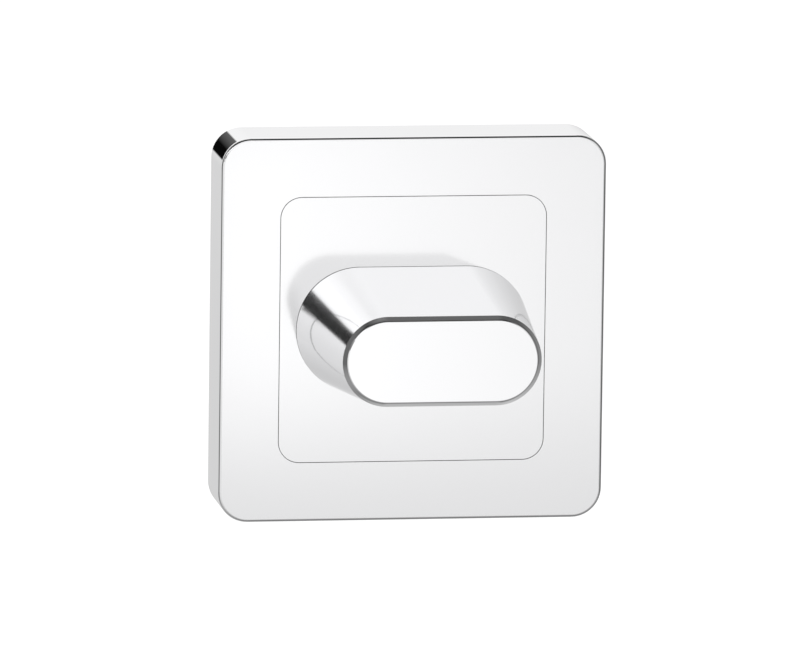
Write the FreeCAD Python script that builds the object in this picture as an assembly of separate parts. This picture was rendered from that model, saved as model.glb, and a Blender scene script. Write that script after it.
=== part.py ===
import FreeCAD, Part
import math
import os

# Inside half of a bathroom thumb turn lock on a square rose, in millimetres.
# The door's face is the plane y = 0, the turn stands out towards -Y, +Z is up,
# and the spindle's axis is the Y axis.

# Rose cover
rose_width = 52.0
rose_depth = 10.0
rose_corner_r = 4.0
rose_wall = 2.0
rose_face = 3.0
rose_edge = 0.2
rose_rim = 8.0

# Insert panel, flush in the cover's window
panel_corner_r = 2.8
seam_gap = 0.09
flange_thickness = 1.5
flange_clearance = 0.5

# Panel screws, driven from behind
panel_screw_r = 1.2
panel_screw_grip = 2.2
panel_screw_head_r = 2.0
panel_screw_head = 1.5
panel_screw_bevel = 0.5
panel_screw_clearance = 0.2
panel_thread_clearance = 0.03

# Thumb turn
turn_length = 26.0
turn_straight = 14.5
turn_base_r = 8.45
turn_front_r = 5.95
turn_rim = 0.52
turn_foot_gap = 0.2

# Neck, its bush and the washers on it
neck_r = 6.0
neck_flats = 10.0
neck_tail = 0.9
running_clearance = 0.05
bush_wall = 0.95
bush_flange_r = 10.5
bush_flange = 1.0
bush_seat_clearance = 0.05
bush_key_width = 3.0
bush_key_depth = 0.8
bush_key_clearance = 0.1
thrust_washer_r = 7.6
thrust_washer_thickness = 0.7
thrust_washer_clearance = 0.15
spring_washer_thickness = 0.35
spring_washer_height = 0.85
spring_washer_lift = 0.03
washer_bore_clearance = 0.3
washer_r = 7.7
stop_washer_thickness = 1.0
stop_tab_width = 4.0
stop_tab_r = 10.1
stop_lug_short = 0.2
stop_lug_width = 3.2
stop_lug_gap = 0.4
stop_play = 0.15
turn_range = 90.0

# Retaining ring
ring_thickness = 0.9
ring_groove_depth = 0.4
ring_groove_clearance = 0.05
ring_width = 1.5
ring_narrowing = 0.35
ring_opening = 3.4
ring_ear_r = 1.35
ring_ear_hole_r = 0.6
ring_ear_angle = 24.0

# Spindle and its pin
spindle_width = 5.0
spindle_entry = 7.0
spindle_reach = 48.0
spindle_clearance = 0.05
spindle_chamfer = 0.6
pin_r = 1.0
pin_wall = 0.35
pin_slit = 0.4
pin_inset = 0.3
pin_hole_clearance = 0.03
pin_depth = 2.6

# Sub-rose
sub_rose_clearance = 0.3
sub_rose_gap = 0.5
sub_rose_bore_r = 13.0
sub_rose_edge = 0.5
bolt_spacing = 38.0
bolt_hole_r = 2.15
bolt_countersink_r = 4.0
lug_r = 3.9
lug_length = 8.0
lug_chamfer = 0.6

# Wood screws
wood_screw_spacing = 32.0
wood_screw_r = 1.75
wood_screw_length = 20.0
wood_screw_head_r = 3.3
wood_screw_point = 4.0
wood_screw_clearance = 0.3
cross_width = 0.9
cross_span = 0.62
cross_depth = 0.55

# Set screw in the cover's lower edge
set_screw_r = 1.5
set_screw_length = 3.0
set_screw_recess = 0.5
set_screw_socket = 1.5
set_screw_socket_depth = 1.3
set_screw_notch_clearance = 0.5

# Places along the axis, from the face of the rose to the door
face_y = -rose_depth
cavity_y = face_y + rose_face
flange_back_y = cavity_y + flange_thickness
bush_back_y = flange_back_y + bush_flange
stop_washer_y = bush_back_y + spring_washer_height + 2 * spring_washer_lift
ring_y = stop_washer_y + stop_washer_thickness
neck_end_y = ring_y + ring_thickness + 2 * ring_groove_clearance + neck_tail
turn_front_y = face_y - turn_length
turn_foot_y = face_y - turn_foot_gap
spindle_start_y = face_y - spindle_entry
sub_rose_front_y = flange_back_y + panel_screw_head + sub_rose_gap
pin_y = face_y + pin_depth

# Widths and radii that follow from the fits
cavity_width = rose_width - 2 * rose_wall
cavity_corner_r = rose_corner_r - rose_wall
window_width = rose_width - 2 * rose_rim
panel_width = window_width - 2 * seam_gap
panel_screw_place = (window_width + cavity_width) / 4
bush_bore_r = neck_r + running_clearance
bush_r = bush_bore_r + bush_wall
groove_r = neck_r - ring_groove_depth
sub_rose_width = cavity_width - 2 * sub_rose_clearance
set_screw_tip_z = -rose_width / 2 + set_screw_recess + set_screw_length
set_screw_y = sub_rose_front_y / 2

ACROSS = FreeCAD.Vector(1, 0, 0)
ALONG = FreeCAD.Vector(0, 1, 0)
UP = FreeCAD.Vector(0, 0, 1)
CENTRE = FreeCAD.Vector(0, 0, 0)
SAME = 1e-6


def disc(radius, y_from, y_to, x=0.0, z=0.0):
    """A cylinder along the axis, from one depth to another."""
    return Part.makeCylinder(radius, y_to - y_from, FreeCAD.Vector(x, y_from, z), ALONG)


def cone(r_from, r_to, y_from, y_to, x=0.0, z=0.0):
    """A cone along the axis, with its radius at each end."""
    return Part.makeCone(r_from, r_to, y_to - y_from, FreeCAD.Vector(x, y_from, z), ALONG)


def block(x_size, y_from, y_to, z_size, x=0.0, z=0.0):
    """A block centred on x and z, from one depth to another."""
    corner = FreeCAD.Vector(x - x_size / 2, y_from, z - z_size / 2)
    return Part.makeBox(x_size, y_to - y_from, z_size, corner)


def edges_along(shape, direction):
    """The straight edges of a shape that run in one direction."""
    found = []
    for edge in shape.Edges:
        if edge.Curve.TypeId == "Part::GeomLine":
            if edge.tangentAt(edge.FirstParameter).cross(direction).Length < SAME:
                found.append(edge)
    return found


def edges_at_depth(shape, y):
    """The edges of a shape that lie wholly in the plane at one depth."""
    found = []
    for edge in shape.Edges:
        box = edge.BoundBox
        if abs(box.YMin - y) < SAME and abs(box.YMax - y) < SAME:
            found.append(edge)
    return found


def square_plate(width, corner_r, y_from, y_to):
    """A square plate with rounded corners."""
    plate = block(width, y_from, y_to, width)
    return plate.makeFillet(corner_r, edges_along(plate, ALONG))


def four_corners(place):
    """The four points at plus and minus one distance in x and z."""
    return [(sx * place, sz * place) for sx in (-1, 1) for sz in (-1, 1)]


def cut_all(shape, tools):
    """The shape less each of the tools."""
    for tool in tools:
        shape = shape.cut(tool)
    return shape


def fuse_all(shapes):
    """One solid from shapes that meet, with the seams between flush faces removed."""
    whole = shapes[0]
    for shape in shapes[1:]:
        whole = whole.fuse(shape)
    return whole.removeSplitter()


def rose_cover():
    """Outer frame: a square cup with a window in its face and blind holes for the panel's screws."""
    outer = square_plate(rose_width, rose_corner_r, face_y, 0)
    outer = outer.makeChamfer(rose_edge, edges_at_depth(outer, face_y))
    cavity = square_plate(cavity_width, cavity_corner_r, cavity_y, 0)
    window = square_plate(window_width, panel_corner_r + seam_gap, face_y, cavity_y)
    hole_r = panel_screw_r + panel_thread_clearance
    hole_end_y = cavity_y - panel_screw_grip
    holes = [disc(hole_r, hole_end_y, cavity_y, x, z) for x, z in four_corners(panel_screw_place)]
    set_hole = Part.makeCylinder(
        set_screw_r + panel_thread_clearance,
        rose_wall,
        FreeCAD.Vector(0, set_screw_y, -rose_width / 2),
        UP,
    )
    return cut_all(outer, [cavity, window, set_hole] + holes)


def insert_panel():
    """Flush square plate with a flange behind the cover's face, a bore and a notch for the bush's key."""
    face = square_plate(panel_width, panel_corner_r, face_y, cavity_y)
    flange_width = cavity_width - 2 * flange_clearance
    flange = square_plate(flange_width, cavity_corner_r, cavity_y, flange_back_y)
    panel = fuse_all([face, flange])
    bore = disc(bush_r + bush_seat_clearance, face_y, flange_back_y)
    key_depth = bush_key_depth + bush_key_clearance
    key_length = bush_flange_r - bush_r + bush_key_clearance
    notch = block(
        bush_key_width + 2 * bush_key_clearance,
        flange_back_y - key_depth,
        flange_back_y,
        key_length,
        z=-bush_r - key_length / 2,
    )
    hole_r = panel_screw_r + panel_screw_clearance
    holes = [disc(hole_r, cavity_y, flange_back_y, x, z) for x, z in four_corners(panel_screw_place)]
    return cut_all(panel, [bore, notch] + holes)


def cross_recess(head_r, head_y, x, z):
    """The cross slot in a screw's head, as a cutter."""
    span = 2 * head_r * cross_span
    depth = head_r * cross_depth
    arms = [block(span, head_y - depth, head_y + depth, cross_width, x, z)]
    arms.append(block(cross_width, head_y - depth, head_y + depth, span, x, z))
    return fuse_all(arms)


def panel_screw(x, z):
    """Pan head screw through the panel's flange into the cover's face."""
    head_y = flange_back_y + panel_screw_head
    head = disc(panel_screw_head_r, flange_back_y, head_y, x, z)
    head = head.makeChamfer(panel_screw_bevel, edges_at_depth(head, head_y))
    shank = disc(panel_screw_r, cavity_y - panel_screw_grip, flange_back_y, x, z)
    return fuse_all([head, shank]).cut(cross_recess(panel_screw_head_r, head_y, x, z))


def thumb_turn():
    """Tapered turn with round ends and a bevelled front, on a neck with a groove, flats and a socket."""
    half = turn_straight / 2
    section = Part.makePolygon(
        [
            FreeCAD.Vector(-half, turn_front_y, -turn_front_r),
            FreeCAD.Vector(-half, turn_foot_y, -turn_base_r),
            FreeCAD.Vector(-half, turn_foot_y, turn_base_r),
            FreeCAD.Vector(-half, turn_front_y, turn_front_r),
            FreeCAD.Vector(-half, turn_front_y, -turn_front_r),
        ]
    )
    middle = Part.Face(section).extrude(ACROSS * turn_straight)
    ends = [cone(turn_front_r, turn_base_r, turn_front_y, turn_foot_y, x=side * half) for side in (-1, 1)]
    body = fuse_all([middle] + ends)
    body = body.makeChamfer(turn_rim, edges_at_depth(body, turn_front_y))

    recess_y = face_y - thrust_washer_thickness
    foot = disc(thrust_washer_r + thrust_washer_clearance, recess_y, turn_foot_y)
    neck = disc(neck_r, recess_y, neck_end_y)
    neck = neck.cut(neck_groove())
    for side in (-1, 1):
        flat = block(
            2 * neck_r,
            stop_washer_y,
            neck_end_y,
            neck_r,
            z=side * (neck_flats + neck_r) / 2,
        )
        neck = neck.cut(flat)
    turn = fuse_all([body.cut(foot), neck])

    socket = spindle_width + 2 * spindle_clearance
    socket_y = spindle_start_y - spindle_clearance
    pin_hole = pin_cylinder(pin_r + pin_hole_clearance, 2 * neck_r)
    return cut_all(turn, [block(socket, socket_y, neck_end_y, socket), pin_hole])


def neck_groove():
    """Cutter for the ring's groove in the neck."""
    width = ring_thickness + 2 * ring_groove_clearance
    outer = disc(neck_r + ring_groove_depth, ring_y, ring_y + width)
    return outer.cut(disc(groove_r, ring_y, ring_y + width))


def pin_cylinder(radius, length):
    """A cylinder across the neck at the pin's place."""
    return Part.makeCylinder(radius, length, FreeCAD.Vector(-length / 2, pin_y, 0), ACROSS)


def bearing_bush():
    """Flanged bush, keyed to the panel, with two lugs that stop the turn."""
    sleeve = disc(bush_r, face_y, flange_back_y)
    flange = disc(bush_flange_r, flange_back_y, bush_back_y)
    key_length = bush_flange_r - bush_r
    key = block(
        bush_key_width,
        flange_back_y - bush_key_depth,
        flange_back_y,
        key_length,
        z=-bush_r - key_length / 2,
    )
    key = key.common(disc(bush_flange_r, face_y, bush_back_y))
    lug_end_y = ring_y - stop_lug_short
    lug_ring = disc(bush_flange_r, bush_back_y, lug_end_y)
    lug_ring = lug_ring.cut(disc(washer_r + stop_lug_gap, bush_back_y, lug_end_y))
    lug_middle = stop_tab_width / 2 + stop_play + stop_lug_width / 2
    rest_lug = lug_ring.common(
        block(stop_lug_width, bush_back_y, lug_end_y, bush_flange_r, x=-lug_middle, z=bush_flange_r / 2)
    )
    far_lug = rest_lug.mirror(CENTRE, ACROSS)
    far_lug.rotate(CENTRE, ALONG, turn_range)
    bush = fuse_all([sleeve, flange, key, rest_lug, far_lug])
    return bush.cut(disc(bush_bore_r, face_y, bush_back_y))


def thrust_washer():
    """Thin plastic washer in the turn's foot, which runs on the bush's front end."""
    washer = disc(thrust_washer_r, face_y - thrust_washer_thickness, face_y)
    bore_r = neck_r + thrust_washer_clearance
    return washer.cut(disc(bore_r, face_y - thrust_washer_thickness, face_y))


def spring_washer():
    """Spring washer: a flat ring bent to one even curve, which bears on its two ends and its crown."""
    sag = spring_washer_height - spring_washer_thickness
    bend_r = (washer_r**2 + sag**2) / (2 * sag)
    centre_y = stop_washer_y - spring_washer_lift - spring_washer_thickness - bend_r
    foot = FreeCAD.Vector(0, centre_y, -washer_r)
    bent = Part.makeCylinder(bend_r + spring_washer_thickness, 2 * washer_r, foot, UP)
    bent = bent.cut(Part.makeCylinder(bend_r, 2 * washer_r, foot, UP))
    ring = disc(washer_r, bush_back_y, stop_washer_y)
    ring = ring.cut(disc(neck_r + washer_bore_clearance, bush_back_y, stop_washer_y))
    return ring.common(bent)


def stop_washer():
    """Washer keyed on the neck's flats, with one tab that meets the bush's lugs."""
    back_y = stop_washer_y + stop_washer_thickness
    washer = disc(washer_r, stop_washer_y, back_y)
    tab = block(stop_tab_width, stop_washer_y, back_y, stop_tab_r, z=stop_tab_r / 2)
    hole = disc(bush_bore_r, stop_washer_y, back_y)
    across = neck_flats + 2 * running_clearance
    hole = hole.common(block(2 * washer_r, stop_washer_y, back_y, across))
    return fuse_all([washer, tab]).cut(hole)


def retaining_ring():
    """Open spring ring, narrower towards its ends, with an eye on each end."""
    front_y = ring_y + ring_groove_clearance
    back_y = front_y + ring_thickness
    bore_r = groove_r + ring_groove_clearance
    outer = disc(bore_r + ring_width, front_y, back_y, z=-ring_narrowing)
    eye_place = bore_r + ring_ear_r
    eyes = []
    holes = []
    for side in (-1, 1):
        angle = math.radians(90 + side * ring_ear_angle)
        x = eye_place * math.cos(angle)
        z = eye_place * math.sin(angle)
        eyes.append(disc(ring_ear_r, front_y, back_y, x, z))
        holes.append(disc(ring_ear_hole_r, front_y, back_y, x, z))
    opening = block(ring_opening, front_y, back_y, 2 * eye_place, z=eye_place)
    return cut_all(fuse_all([outer] + eyes), [disc(bore_r, front_y, back_y), opening] + holes)


def spindle():
    """Square bar with broken ends, drilled for the pin."""
    bar = block(spindle_width, spindle_start_y, spindle_reach, spindle_width)
    ends = edges_at_depth(bar, spindle_start_y) + edges_at_depth(bar, spindle_reach)
    bar = bar.makeChamfer(spindle_chamfer, ends)
    return bar.cut(pin_cylinder(pin_r + pin_hole_clearance, 2 * spindle_width))


def spindle_pin():
    """Slotted spring pin through the neck and the spindle."""
    length = 2 * (neck_r - pin_inset)
    tube = pin_cylinder(pin_r, length).cut(pin_cylinder(pin_r - pin_wall, length))
    slit = Part.makeBox(length, 2 * pin_r, pin_slit, FreeCAD.Vector(-length / 2, pin_y, -pin_slit / 2))
    return tube.cut(slit)


def sub_rose():
    """Fixing plate with two support lugs, screw holes and a notch for the set screw."""
    plate = square_plate(sub_rose_width, cavity_corner_r, sub_rose_front_y, 0)
    plate = plate.makeChamfer(sub_rose_edge, edges_at_depth(plate, sub_rose_front_y))
    solids = [plate]
    cutters = [disc(sub_rose_bore_r, sub_rose_front_y, 0)]
    for side in (-1, 1):
        x = side * bolt_spacing / 2
        lug = disc(lug_r, 0, lug_length, x)
        solids.append(lug.makeChamfer(lug_chamfer, edges_at_depth(lug, lug_length)))
        cutters.append(disc(bolt_hole_r, sub_rose_front_y, lug_length, x))
        sink_depth = bolt_countersink_r - bolt_hole_r
        cutters.append(
            cone(bolt_countersink_r, bolt_hole_r, sub_rose_front_y, sub_rose_front_y + sink_depth, x)
        )
    for x, z in four_corners(wood_screw_spacing / 2):
        cutters.append(disc(wood_screw_r + wood_screw_clearance, sub_rose_front_y, 0, x, z))
        sink_r = wood_screw_head_r + wood_screw_clearance
        sink_end = wood_screw_r + wood_screw_clearance
        cutters.append(
            cone(sink_r, sink_end, sub_rose_front_y, sub_rose_front_y + sink_r - sink_end, x, z)
        )
    notch_width = 2 * (set_screw_r + set_screw_notch_clearance)
    notch_height = set_screw_tip_z + sub_rose_width / 2
    notch_z = (set_screw_tip_z - sub_rose_width / 2) / 2
    cutters.append(block(notch_width, sub_rose_front_y, 0, notch_height, z=notch_z))
    return cut_all(fuse_all(solids), cutters)


def wood_screw(x, z):
    """Countersunk screw with a pointed end, seated in the sub-rose."""
    head_depth = wood_screw_head_r - wood_screw_r
    end_y = sub_rose_front_y + wood_screw_length
    head = cone(wood_screw_head_r, wood_screw_r, sub_rose_front_y, sub_rose_front_y + head_depth, x, z)
    shank = disc(wood_screw_r, sub_rose_front_y + head_depth, end_y - wood_screw_point, x, z)
    point = cone(wood_screw_r, wood_screw_r / 10, end_y - wood_screw_point, end_y, x, z)
    return fuse_all([head, shank, point]).cut(cross_recess(wood_screw_head_r, sub_rose_front_y, x, z))


def cover_set_screw():
    """Headless screw with a hexagon socket, from the cover's lower edge to the sub-rose's notch."""
    foot_z = -rose_width / 2 + set_screw_recess
    screw = Part.makeCylinder(set_screw_r, set_screw_length, FreeCAD.Vector(0, set_screw_y, foot_z), UP)
    points = []
    for corner in range(7):
        angle = math.radians(60 * corner)
        reach = set_screw_socket / math.sqrt(3)
        y = set_screw_y + reach * math.sin(angle)
        points.append(FreeCAD.Vector(reach * math.cos(angle), y, foot_z))
    socket = Part.Face(Part.makePolygon(points)).extrude(UP * set_screw_socket_depth)
    return screw.cut(socket)


nodes = {
    "rose_cover": [rose_cover()],
    "insert_panel": [insert_panel()],
    "panel_screws": [panel_screw(x, z) for x, z in four_corners(panel_screw_place)],
    "thumb_turn": [thumb_turn()],
    "bearing_bush": [bearing_bush()],
    "thrust_washer": [thrust_washer()],
    "spring_washer": [spring_washer()],
    "stop_washer": [stop_washer()],
    "retaining_ring": [retaining_ring()],
    "spindle": [spindle()],
    "spindle_pin": [spindle_pin()],
    "sub_rose": [sub_rose()],
    "wood_screws": [wood_screw(x, z) for x, z in four_corners(wood_screw_spacing / 2)],
    "cover_set_screw": [cover_set_screw()],
}

os.makedirs("parts", exist_ok=True)
for name, solids in nodes.items():
    shape = solids[0] if len(solids) == 1 else Part.makeCompound(solids)
    shape.exportStep(f"parts/{name}.step")
    print(name, "solids", len(shape.Solids), "valid", shape.isValid(), "volume", round(shape.Volume, 2))
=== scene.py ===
import bpy
import math
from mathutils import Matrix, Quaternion, Vector


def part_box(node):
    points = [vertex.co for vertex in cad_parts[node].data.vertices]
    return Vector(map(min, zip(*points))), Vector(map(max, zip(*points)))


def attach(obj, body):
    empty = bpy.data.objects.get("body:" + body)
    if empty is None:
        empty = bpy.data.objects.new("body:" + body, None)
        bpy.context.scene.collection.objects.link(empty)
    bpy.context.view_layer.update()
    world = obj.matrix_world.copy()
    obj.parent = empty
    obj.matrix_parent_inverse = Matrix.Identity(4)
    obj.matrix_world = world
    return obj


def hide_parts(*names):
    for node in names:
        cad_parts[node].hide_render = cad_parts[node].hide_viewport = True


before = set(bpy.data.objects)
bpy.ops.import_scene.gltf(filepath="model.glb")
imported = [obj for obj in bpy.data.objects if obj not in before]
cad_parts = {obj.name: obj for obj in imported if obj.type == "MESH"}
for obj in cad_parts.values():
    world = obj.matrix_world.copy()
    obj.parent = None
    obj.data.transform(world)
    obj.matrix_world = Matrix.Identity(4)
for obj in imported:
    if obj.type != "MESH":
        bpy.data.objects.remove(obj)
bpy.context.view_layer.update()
bpy.ops.object.select_all(action="DESELECT")


# Sub-rose: the fixing plate that lies on the door under the cover, with two lugs for through bolts.
# Die-cast zinc, left bare as it came from the tool: dull grey, with slow flow clouds and a fine grain.
MM = 0.001
ZINC_CLOUD = 9.0 * MM
ZINC_GRAIN = 0.35 * MM
ZINC_PIT = 0.06 * MM
# The part of its range from 0 to 1 that a noise mostly keeps to.
NOISE_SPAN = {"From Min": 0.3, "From Max": 0.7}


def linear(hex_colour):
    """An sRGB hex colour as linear red, green, blue and alpha."""
    parts = [int(hex_colour[i:i + 2], 16) / 255 for i in (1, 3, 5)]
    return [c / 12.92 if c <= 0.04045 else ((c + 0.055) / 1.055) ** 2.4 for c in parts] + [1.0]


def add(tree, kind, inputs=None, stops=None, **settings):
    """Adds one node: its settings, a ramp's stops, and for each socket a value, a node or an output."""
    node = tree.nodes.new(kind)
    for name, value in settings.items():
        setattr(node, name, value)
    for socket, value in (inputs or {}).items():
        if isinstance(value, bpy.types.Node):
            value = value.outputs[0]
        if isinstance(value, bpy.types.NodeSocket):
            tree.links.new(value, node.inputs[socket])
        else:
            node.inputs[socket].default_value = value
    for index, (place, colour) in enumerate(stops or []):
        elements = node.color_ramp.elements
        element = elements[index] if index < len(elements) else elements.new(place)
        element.position = place
        element.color = colour
    return node


def start_finish(name):
    """A new material with its tree, and the Object coordinates that its patterns are measured in."""
    material = bpy.data.materials.new(name)
    material.use_nodes = True
    material.node_tree.nodes.clear()
    place = add(material.node_tree, "ShaderNodeTexCoord").outputs["Object"]
    return material, material.node_tree, place


def end_finish(tree, surface):
    """Closes a material with its Principled surface."""
    shader = add(tree, "ShaderNodeBsdfPrincipled", surface)
    add(tree, "ShaderNodeOutputMaterial", {"Surface": shader})


def two_tone(dark, light):
    """Stops for two colours, over the part of its range that a noise keeps to."""
    return [(NOISE_SPAN["From Min"], linear(dark)), (NOISE_SPAN["From Max"], linear(light))]


def give(finish, *names):
    """Puts a finish on CAD nodes."""
    for name in names:
        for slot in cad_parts[name].material_slots:
            slot.material = finish


cast_zinc, tree, place = start_finish("cast_zinc")
clouds = add(tree, "ShaderNodeTexNoise", {"Vector": place, "Scale": 1 / ZINC_CLOUD, "Detail": 3.0})
grain = add(tree, "ShaderNodeTexNoise", {"Vector": place, "Scale": 1 / ZINC_GRAIN, "Detail": 2.0})
tone = add(tree, "ShaderNodeValToRGB", {"Fac": clouds}, two_tone("#9DA0A3", "#B8BABC"))
dull = add(tree, "ShaderNodeMapRange", {"Value": grain, **NOISE_SPAN, "To Min": 0.40, "To Max": 0.58})
skin = add(tree, "ShaderNodeBump", {"Height": grain, "Strength": 0.3, "Distance": ZINC_PIT})
end_finish(tree, {"Base Color": tone, "Metallic": 1.0, "Roughness": dull, "Normal": skin})
give(cast_zinc, "sub_rose")


# Wood screws: four countersunk steel screws with a cross recess that hold the sub-rose to the door.
# Cold-headed, with a rolled thread, then barrel-plated with bright zinc, a little uneven in tone.
STEEL_PATCH = 2.2 * MM
STEEL_HAZE = 0.12
HEAD_R = 3.3 * MM
THREAD_CREST_R = 1.75 * MM
THREAD_ROOT_R = 1.2 * MM
THREAD_PITCH = 1.6 * MM
THREAD_START = 6.5 * MM
RIDGE_SHARE = 0.42
POINT_LENGTH = 4.0 * MM
POINT_R = 0.12 * MM
CROSS_WIDTH = 0.9 * MM
CROSS_SPAN = 4.1 * MM
CROSS_DEPTH = 1.8 * MM
SCREW_STEPS = 28
SCREW_ROWS = 160
SCREW_SMOOTH = math.radians(35)
SAME_DEPTH = 0.001 * MM
screw_low, screw_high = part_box("wood_screws")
head_y = screw_low[1]
screw_length = screw_high[1] - screw_low[1]
head_depth = HEAD_R - THREAD_CREST_R
screw_place = screw_high[0] - HEAD_R


def plate_steel(name, light, dark, least_rough):
    """Plated or blackened steel: slow patches of tone, with a haze that follows them."""
    finish, tree, place = start_finish(name)
    patches = add(tree, "ShaderNodeTexNoise", {"Vector": place, "Scale": 1 / STEEL_PATCH, "Detail": 4.0})
    tone = add(tree, "ShaderNodeValToRGB", {"Fac": patches}, two_tone(dark, light))
    haze_range = {**NOISE_SPAN, "To Min": least_rough, "To Max": least_rough + STEEL_HAZE}
    haze = add(tree, "ShaderNodeMapRange", {"Value": patches, **haze_range})
    end_finish(tree, {"Base Color": tone, "Metallic": 1.0, "Roughness": haze})
    return finish


def select_at_depths(mesh, depths, beyond=0.0):
    """Selects, in edit mode, what lies at some depths of a mesh, further than a distance from its axis."""
    bpy.ops.mesh.select_all(action="DESELECT")
    bpy.ops.object.mode_set(mode="OBJECT")
    for vertex in mesh.vertices:
        x, y, z = vertex.co
        at_depth = any(abs(y - depth) < SAME_DEPTH for depth in depths)
        vertex.select = at_depth and max(abs(x), abs(z)) >= beyond
    bpy.ops.object.mode_set(mode="EDIT")


def screw_radius(along, angle):
    """The screw's radius at a distance from its head, at an angle round its axis."""
    if along < head_depth:
        return HEAD_R - along
    taper = min(1.0, (screw_length - along) / POINT_LENGTH)
    phase = (along / THREAD_PITCH - angle / math.tau) % 1.0
    ridge = max(0.0, 1.0 - abs(2 * phase - 1.0) / RIDGE_SHARE)
    run_in = min(1.0, max(0.0, (along - THREAD_START) / THREAD_PITCH))
    valley = THREAD_CREST_R + (THREAD_ROOT_R - THREAD_CREST_R) * run_in
    return POINT_R + (valley + (THREAD_CREST_R - valley) * ridge - POINT_R) * taper


bpy.ops.mesh.primitive_grid_add(x_subdivisions=SCREW_STEPS, y_subdivisions=SCREW_ROWS, size=1)
wood_screws = bpy.context.object
wood_screws.name = "threaded_wood_screws"
for vertex in wood_screws.data.vertices:
    angle = math.tau * (vertex.co.x + 0.5)
    along = screw_length * (vertex.co.y + 0.5)
    radius = screw_radius(along, angle % math.tau)
    vertex.co = (radius * math.cos(angle), head_y + along, radius * math.sin(angle))
bpy.ops.object.mode_set(mode="EDIT")
bpy.ops.mesh.select_all(action="SELECT")
bpy.ops.mesh.remove_doubles(threshold=SAME_DEPTH)
for ring_y in (head_y, head_y + screw_length):
    select_at_depths(wood_screws.data, [ring_y])
    bpy.ops.mesh.edge_face_add()
bpy.ops.mesh.select_all(action="SELECT")
bpy.ops.mesh.normals_make_consistent(inside=False)
bpy.ops.object.mode_set(mode="OBJECT")
for arm_x, arm_z in ((CROSS_SPAN, CROSS_WIDTH), (CROSS_WIDTH, CROSS_SPAN)):
    arm_size = (arm_x, 2 * CROSS_DEPTH, arm_z)
    bpy.ops.mesh.primitive_cube_add(size=1, location=(0, head_y, 0), scale=arm_size)
    arm_cutter = bpy.context.object
    bpy.context.view_layer.objects.active = wood_screws
    bpy.ops.object.modifier_add(type="BOOLEAN")
    recess = wood_screws.modifiers[-1]
    recess.object = arm_cutter
    recess.operation = "DIFFERENCE"
    recess.solver = "MANIFOLD"
    bpy.ops.object.modifier_apply(modifier=recess.name)
    bpy.data.objects.remove(arm_cutter)
wood_screws.select_set(True)
bpy.ops.object.mode_set(mode="EDIT")
bpy.ops.mesh.select_all(action="SELECT")
bpy.ops.transform.translate(value=(screw_place, 0, screw_place))
for to_next in ((-2 * screw_place, 0, 0), (0, 0, -2 * screw_place)):
    bpy.ops.mesh.select_all(action="SELECT")
    bpy.ops.mesh.duplicate()
    bpy.ops.transform.translate(value=to_next)
bpy.ops.object.mode_set(mode="OBJECT")
bpy.ops.object.shade_smooth_by_angle(angle=SCREW_SMOOTH)
plated_screw = plate_steel("plated_screw", "#D8DADD", "#B8BBC0", least_rough=0.2)
wood_screws.data.materials.clear()
wood_screws.data.materials.append(plated_screw)
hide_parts("wood_screws")
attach(wood_screws, "rose")


# Rose cover: the square outer frame of the rose, which hides the sub-rose and its screws.
# Die-cast zinc, ground flat, polished and chromium plated. Chromium gives a clean neutral mirror;
# deep inside the casting the plate is thin, so there it goes grey and dull.
POLISH_PATCH = 7.0 * MM
POLISH_UNEVEN = 0.015
THIN_PATCH = 5.0 * MM
THIN_ROUGH = 0.38
# The cavity behind the face: half its width, and the depth at which it starts.
CAVITY_HALF = 24.05 * MM
CAVITY_FROM = -7.02 * MM
# The depth part of a surface normal, from a front face to the start of an edge.
FRONT_FACING = {"From Min": -0.995, "From Max": -0.97}
COPLANAR = math.radians(0.5)
BUFF_STEPS = 3
ROSE_BEVEL = 0.2 * MM
ROSE_WORN = 0.05 * MM
ROSE_BUFFED = 0.16 * MM
ROSE_RIM = 8.0 * MM
ROSE_SMOOTH = math.radians(20)
rose_low, rose_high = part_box("rose_cover")
face_y = rose_low[1]
bevel_y = face_y + ROSE_BEVEL
rose_half = rose_high[0]
rim_middle = rose_half - ROSE_RIM / 2
worn_share = 1 - ROSE_WORN / rose_half


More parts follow.
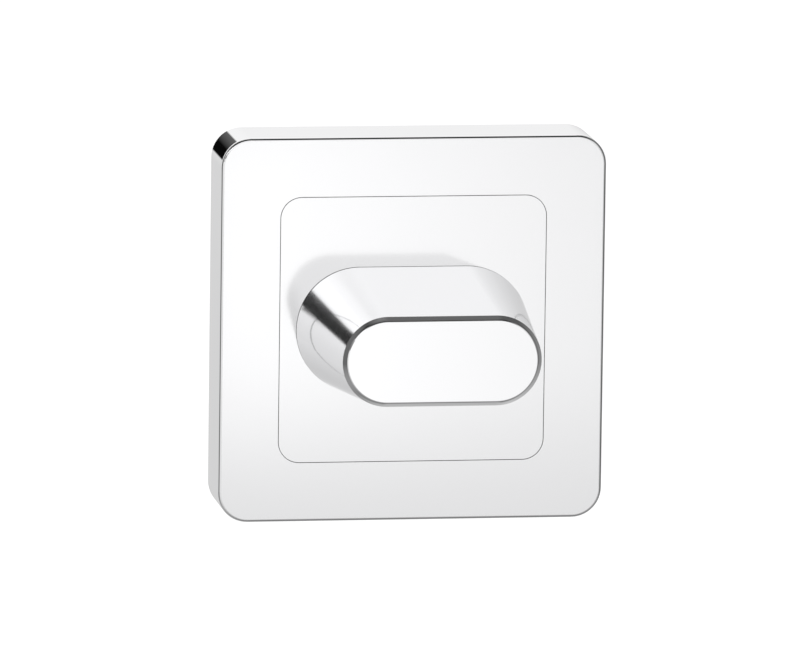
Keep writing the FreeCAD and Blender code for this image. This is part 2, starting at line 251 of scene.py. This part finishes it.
def chrome(name, face_rough, wall_rough, inside_from):
    """Chromium plate: a mirror with one haze on its front and another on its walls, and thin plate inside."""
    finish, tree, place = start_finish(name)
    outward = add(tree, "ShaderNodeTexCoord").outputs["Normal"]
    facing = add(tree, "ShaderNodeSeparateXYZ", {"Vector": outward}).outputs["Y"]
    spot = add(tree, "ShaderNodeSeparateXYZ", {"Vector": place})
    polish = add(tree, "ShaderNodeTexNoise", {"Vector": place, "Scale": 1 / POLISH_PATCH, "Detail": 2.0})
    haze_range = {**FRONT_FACING, "To Min": face_rough, "To Max": wall_rough}
    haze = add(tree, "ShaderNodeMapRange", {"Value": facing, **haze_range})
    bright = add(tree, "ShaderNodeMath", {0: polish, 1: POLISH_UNEVEN, 2: haze}, operation="MULTIPLY_ADD")

    inside = add(tree, "ShaderNodeMath", {0: spot.outputs["Y"], 1: inside_from}, operation="GREATER_THAN")
    for side in ("X", "Z"):
        off_axis = add(tree, "ShaderNodeMath", {0: spot.outputs[side]}, operation="ABSOLUTE")
        within = add(tree, "ShaderNodeMath", {0: off_axis, 1: CAVITY_HALF}, operation="LESS_THAN")
        inside = add(tree, "ShaderNodeMath", {0: inside, 1: within}, operation="MULTIPLY")
    streaks = add(tree, "ShaderNodeTexNoise", {"Vector": place, "Scale": 1 / THIN_PATCH, "Detail": 4.0})
    thin = add(tree, "ShaderNodeValToRGB", {"Fac": streaks}, two_tone("#8F9396", "#B9BCBF"))
    # A Mix node takes its two numbers on sockets 2 and 3, and its two colours on 6 and 7.
    colour = add(tree, "ShaderNodeMix", {"Factor": inside, 6: linear("#F8F8F9"), 7: thin}, data_type="RGBA")
    rough = add(tree, "ShaderNodeMix", {"Factor": inside, 2: bright, 3: THIN_ROUGH})
    end_finish(tree, {"Base Color": colour.outputs[2], "Metallic": 1.0, "Roughness": rough})
    return finish


def start_buffing(node, name):
    """A copy of a CAD node, open in edit mode, with its triangles merged to whole faces."""
    bpy.ops.object.select_all(action="DESELECT")
    buffed = bpy.data.objects.new(name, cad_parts[node].data.copy())
    bpy.context.collection.objects.link(buffed)
    buffed.select_set(True)
    bpy.context.view_layer.objects.active = buffed
    bpy.ops.mesh.customdata_custom_splitnormals_clear()
    bpy.ops.object.mode_set(mode="EDIT")
    bpy.ops.mesh.select_all(action="SELECT")
    bpy.ops.mesh.remove_doubles(threshold=SAME_DEPTH)
    bpy.ops.mesh.dissolve_limited(angle_limit=COPLANAR)
    return buffed


def end_buffing(buffed, width, smooth_angle):
    """Rounds the selected edges; the flat faces beside them stay flat."""
    bpy.ops.mesh.bevel(offset=width, segments=BUFF_STEPS, affect="EDGES")
    bpy.ops.object.mode_set(mode="OBJECT")
    bpy.ops.object.shade_smooth_by_angle(angle=smooth_angle)
    bpy.ops.object.modifier_add(type="WEIGHTED_NORMAL")
    buffed.modifiers[-1].keep_sharp = True
    bpy.ops.object.modifier_apply(modifier=buffed.modifiers[-1].name)
    buffed.data.materials.clear()


rose_cover = start_buffing("rose_cover", "polished_rose_cover")
select_at_depths(rose_cover.data, [face_y], rim_middle)
bpy.ops.transform.resize(value=(worn_share, 1, worn_share))
select_at_depths(rose_cover.data, [bevel_y], rim_middle)
bpy.ops.transform.translate(value=(0, ROSE_WORN, 0))
select_at_depths(rose_cover.data, [face_y, bevel_y + ROSE_WORN], rim_middle)
end_buffing(rose_cover, ROSE_BUFFED, ROSE_SMOOTH)
plate_chrome = chrome("plate_chrome", face_rough=0.08, wall_rough=0.02, inside_from=CAVITY_FROM)
rose_cover.data.materials.append(plate_chrome)
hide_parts("rose_cover")
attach(rose_cover, "rose")


# Insert panel: the flush square plate in the cover's window, held by its flange from behind.
# The same chromium plate as the cover, ground and polished with it, so that the two faces read as one.
give(plate_chrome, "insert_panel")


# Panel screws: four small pan head screws, driven from behind through the panel's flange.
# Bright zinc plate, as on the wood screws.
give(plated_screw, "panel_screws")


# Bearing bush and thrust washer: the plain bearing that the turn's neck runs in.
# Moulded acetal, which runs dry: a milky white plastic with a waxy sheen.
ACETAL_FLOW = 1.4 * MM
acetal, tree, place = start_finish("acetal")
flow = add(tree, "ShaderNodeTexNoise", {"Vector": place, "Scale": 1 / ACETAL_FLOW, "Detail": 2.0})
milk = add(tree, "ShaderNodeValToRGB", {"Fac": flow}, two_tone("#E4E3DC", "#EFEEE8"))
wax = add(tree, "ShaderNodeMapRange", {"Value": flow, **NOISE_SPAN, "To Min": 0.36, "To Max": 0.46})
end_finish(tree, {"Base Color": milk, "Roughness": wax, "IOR": 1.48})
give(acetal, "bearing_bush", "thrust_washer")


# Thumb turn: the tapered, round-ended turn with its neck, cast in one.
# Its front edge is bevelled, and buffing breaks the sharp line where the bevel meets the front face.
# Chromium plate over polished zinc, clearest on the front; the plate is thin on the neck.
TURN_BUFFED = 0.12 * MM
TURN_SMOOTH = math.radians(10)
NECK_FROM = -9.9 * MM
turn_low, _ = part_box("thumb_turn")
thumb_turn = start_buffing("thumb_turn", "polished_thumb_turn")
select_at_depths(thumb_turn.data, [turn_low[1]])
end_buffing(thumb_turn, TURN_BUFFED, TURN_SMOOTH)
turn_chrome = chrome("turn_chrome", face_rough=0.02, wall_rough=0.065, inside_from=NECK_FROM)
thumb_turn.data.materials.append(turn_chrome)
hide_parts("thumb_turn")
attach(thumb_turn, "turn")
bpy.ops.object.select_all(action="DESELECT")


# Stop washer and spindle: the tabbed washer on the neck's flats and the square bar through the lock.
# Stamped and drawn steel with bright zinc plate, greyer than the screws.
plated_steel = plate_steel("plated_steel", "#C9CCD0", "#B9BDC1", least_rough=0.25)
give(plated_steel, "stop_washer", "spindle")


# Spring washer, retaining ring, spindle pin and set screw: the hardened small pieces.
# Spring steel, blackened in oil: a deep grey with a soft shine.
spring_steel = plate_steel("spring_steel", "#4E4F52", "#37383A", least_rough=0.28)
give(spring_steel, "spring_washer", "retaining_ring", "spindle_pin", "cover_set_screw")


# Floor: a plain pale studio floor, far below the lock, which hangs free as it would on its door.
# Polished metal looks past it to the walls of the studio, and from below it is clear.
FLOOR_DROP = 0.35
FLOOR_R = 6.0
FLOOR_SIDES = 64
FLOOR_LIFT = 0.5
floor_place = (0, 0, -FLOOR_DROP)
bpy.ops.mesh.primitive_circle_add(
    vertices=FLOOR_SIDES, radius=FLOOR_R, fill_type="NGON", location=floor_place
)
floor = bpy.context.object
floor.name = "floor"
floor_paint, tree, _ = start_finish("floor_paint")
ray = add(tree, "ShaderNodeLightPath")
lift = add(tree, "ShaderNodeMath", {0: ray.outputs["Is Camera Ray"], 1: FLOOR_LIFT}, operation="MULTIPLY")
paint_surface = {"Base Color": linear("#F5F5F5"), "Roughness": 0.9, "Emission Color": (1, 1, 1, 1)}
paint = add(tree, "ShaderNodeBsdfPrincipled", {**paint_surface, "Emission Strength": lift})
clear = add(tree, "ShaderNodeBsdfTransparent")
under = add(tree, "ShaderNodeNewGeometry").outputs["Backfacing"]
unseen = add(tree, "ShaderNodeMath", {0: ray.outputs["Is Glossy Ray"], 1: under}, operation="MAXIMUM")
seen = add(tree, "ShaderNodeMixShader", {0: unseen, 1: paint, 2: clear})
add(tree, "ShaderNodeOutputMaterial", {"Surface": seen})
floor.data.materials.append(floor_paint)


# Studio: a white room for the eye, soft even light for dull surfaces, and for polished metal the room
# that it mirrors. Its walls brighten upwards to a dark ceiling, dark wings stand at its sides, two black
# flags on the left draw the bands on the rounded ends, and a soft grey one shades the turn's foot.
ROOM_LIGHT = 0.65
BRIGHTEST = 1.25
HALVES_MEET = {"From Min": -0.1, "From Max": 0.1}
WING_FEET = {"From Min": -65.0, "From Max": -12.0}
world = bpy.data.worlds.new("studio")
bpy.context.scene.world = world
world.use_nodes = True
tree = world.node_tree
tree.nodes.clear()
way = add(tree, "ShaderNodeSeparateXYZ", {"Vector": add(tree, "ShaderNodeTexCoord").outputs["Generated"]})
forward = add(tree, "ShaderNodeMath", {0: way.outputs["Y"], 1: -1.0}, operation="MULTIPLY")
rise = add(tree, "ShaderNodeMath", {0: way.outputs["Z"]}, operation="ARCSINE")
front_turn = add(tree, "ShaderNodeMath", {0: way.outputs["X"], 1: forward}, operation="ARCTAN2")
back_turn = add(tree, "ShaderNodeMath", {0: way.outputs["X"], 1: way.outputs["Y"]}, operation="ARCTAN2")
rise, front_turn, back_turn = [
    add(tree, "ShaderNodeMath", {0: angle}, operation="DEGREES") for angle in (rise, front_turn, back_turn)
]


def studio_tone(angle, stops):
    """A tone that changes along one angle, from stops of degrees and brightness."""
    share = add(tree, "ShaderNodeMapRange", {"Value": angle, "From Min": -180.0, "From Max": 180.0})
    row = [((turn + 180) / 360, [tone / BRIGHTEST] * 3 + [1.0]) for turn, tone in stops]
    ramp = add(tree, "ShaderNodeValToRGB", {"Fac": share}, row)
    return add(tree, "ShaderNodeMath", {0: ramp, 1: BRIGHTEST}, operation="MULTIPLY")


def hang_flag(room, angle, sides, heights, soft, fade_from, tones):
    """Hangs an upright flag in the room: one tone up to a height, which fades to another at its head."""
    side_edges = [(angle, sides[0], soft), (angle, sides[1], -soft)]
    level_edges = [(rise, heights[0], soft), (rise, heights[1], -soft)]
    cover = 1.0
    for value, edge, width in side_edges + level_edges:
        step = add(tree, "ShaderNodeMapRange", {"Value": value, "From Min": edge, "From Max": edge + width})
        cover = add(tree, "ShaderNodeMath", {0: cover, 1: step}, operation="MULTIPLY")
    shade_range = {"From Min": fade_from, "From Max": heights[1], "To Min": tones[0], "To Max": tones[1]}
    shade = add(tree, "ShaderNodeMapRange", {"Value": rise, **shade_range})
    return add(tree, "ShaderNodeMix", {"Factor": cover, 2: room, 3: shade})


front_walls = [(-60, 0.2), (-34, 0.45), (-18, 0.63), (-7, 0.73), (0, 0.8), (10, 0.92), (20, 1.04), (24, 1.04)]
front_ceiling = [(29, 0.02), (55, 0.03), (75, 0.2)]
front_sides = [(-22, 1.12), (-17, 1.16), (-2, 1.0), (9, 1.0), (14, 0.9), (18, 0.87), (24, 0.8)]
back_walls = [(-60, 0.55), (-30, 0.58), (-10, 0.67), (9, 0.91), (16, 0.98), (60, 0.98), (85, 0.9)]
wing_places = [(-118, 0), (-108, 1), (-62, 1), (-50, 0), (42, 0), (54, 1), (130, 1), (145, 0)]
wing_tones = [(-50, 0.14), (42, 0.1), (76, 0.1), (92, 0.25)]
ahead = studio_tone(rise, front_walls + front_ceiling)
ahead = add(tree, "ShaderNodeMath", {0: ahead, 1: studio_tone(front_turn, front_sides)}, operation="MULTIPLY")
ahead = hang_flag(
    ahead, front_turn, sides=(-45, -17.5), heights=(3.1, 13.3), soft=0.3, fade_from=3.1, tones=(0.015, 0.03)
)
ahead = hang_flag(
    ahead, front_turn, sides=(-9, 14), heights=(-7, 8), soft=5.0, fade_from=0.0, tones=(0.86, 0.86)
)
behind = hang_flag(
    studio_tone(rise, back_walls), back_turn,
    sides=(-30, -2.5), heights=(-4.0, 13.2), soft=1.2, fade_from=5.0, tones=(0.003, 0.15)
)
half = add(tree, "ShaderNodeMapRange", {"Value": way.outputs["Y"], **HALVES_MEET})
room = add(tree, "ShaderNodeMix", {"Factor": half, 2: ahead, 3: behind})
at_wing = studio_tone(front_turn, wing_places)
above_feet = add(tree, "ShaderNodeMapRange", {"Value": rise, **WING_FEET})
wing_cover = add(tree, "ShaderNodeMath", {0: at_wing, 1: above_feet}, operation="MULTIPLY")
room = add(tree, "ShaderNodeMix", {"Factor": wing_cover, 2: room, 3: studio_tone(front_turn, wing_tones)})
ray = add(tree, "ShaderNodeLightPath")
light = add(tree, "ShaderNodeMix", {"Factor": ray.outputs["Is Glossy Ray"], 2: ROOM_LIGHT, 3: room})
light = add(tree, "ShaderNodeMix", {"Factor": ray.outputs["Is Camera Ray"], 2: light, 3: 1.0})
glow = add(tree, "ShaderNodeBackground", {"Color": (1, 1, 1, 1), "Strength": light})
add(tree, "ShaderNodeOutputWorld", {"Surface": glow})


# Key lamp: one large soft lamp above and behind on the left, out of the metal's reflections.
# It models the dull pieces on the door's side, which the even light of the room leaves flat.
KEY_PLACE = Vector((-0.5, 0.6, 0.8))
KEY_SIZE = 0.6
KEY_POWER = 4.0
bpy.ops.object.light_add(type="AREA", location=KEY_PLACE)
key = bpy.context.object
key.name = "key_lamp"
key.data.size = KEY_SIZE
key.data.energy = KEY_POWER
key.rotation_mode = "QUATERNION"
key.rotation_quaternion = (-KEY_PLACE).to_track_quat("-Z", "Y")
key.visible_camera = False
key.visible_glossy = False


# Camera: a long lens a little above and to the left of the lock's axis, as in the photograph.
# It is turned on its own axis so that the rose's upright and level edges share what tilt is left.
PHOTO_WIDTH = 792
PIXELS_PER_MM = 7.48
SENSOR_WIDTH = 36.0
CAMERA_TURN = math.radians(-8.933)
CAMERA_RISE = math.radians(9.617)
CAMERA_ROLL = math.radians(0.745)
CAMERA_DISTANCE = 1.5
AIM = Vector((-2.215, -10.0, -0.733)) * MM
level_back = Vector((math.sin(CAMERA_TURN), -math.cos(CAMERA_TURN), 0)) * math.cos(CAMERA_RISE)
back = level_back + Vector((0, 0, math.sin(CAMERA_RISE)))
bpy.ops.object.camera_add(location=AIM + back * CAMERA_DISTANCE)
camera = bpy.context.object
camera.rotation_mode = "QUATERNION"
camera.rotation_quaternion = (-back).to_track_quat("-Z", "Y") @ Quaternion((0, 0, 1), CAMERA_ROLL)
camera.data.sensor_width = SENSOR_WIDTH
camera.data.lens = SENSOR_WIDTH * PIXELS_PER_MM * CAMERA_DISTANCE / MM / PHOTO_WIDTH
camera.data.clip_start = 0.01
camera.data.clip_end = 100.0
bpy.context.scene.camera = camera
bpy.context.scene.view_settings.view_transform = "Standard"


# Reflector card: a white card in front of the lock, low on the right, which the flat faces mirror
# to the camera. Its light falls off to the right and towards its foot.
CARD_DISTANCE = 0.45
CARD_WIDTH = 90.0 * MM
CARD_FOOT = 35.0 * MM
CARD_FOOT_LIGHT = 0.8
CARD_LIGHT = {"To Min": 1.1, "To Max": 0.95}
card_x = -CARD_DISTANCE * math.tan(CAMERA_TURN)
card_z = -CARD_DISTANCE * math.tan(CAMERA_RISE) / math.cos(CAMERA_TURN)
card_place = (card_x, -CARD_DISTANCE, card_z)
bpy.ops.mesh.primitive_plane_add(size=CARD_WIDTH, location=card_place, rotation=(math.pi / 2, 0, 0))
card = bpy.context.object
card.name = "reflector_card"
card_white, tree, place = start_finish("card_white")
spot = add(tree, "ShaderNodeSeparateXYZ", {"Vector": place})
across_range = {"From Min": -rose_half, "From Max": rose_half, **CARD_LIGHT}
across = add(tree, "ShaderNodeMapRange", {"Value": spot.outputs["X"], **across_range})
down_range = {"Value": spot.outputs["Y"], "From Min": 0.0, "From Max": -CARD_FOOT}
down = add(tree, "ShaderNodeMapRange", down_range, interpolation_type="SMOOTHSTEP")
level = add(tree, "ShaderNodeMix", {"Factor": down, 2: across, 3: CARD_FOOT_LIGHT})
shine = add(tree, "ShaderNodeEmission", {"Color": (1, 1, 1, 1), "Strength": level})
add(tree, "ShaderNodeOutputMaterial", {"Surface": shine})
card.data.materials.append(card_white)
card.visible_camera = False
card.visible_diffuse = False
card.visible_shadow = False
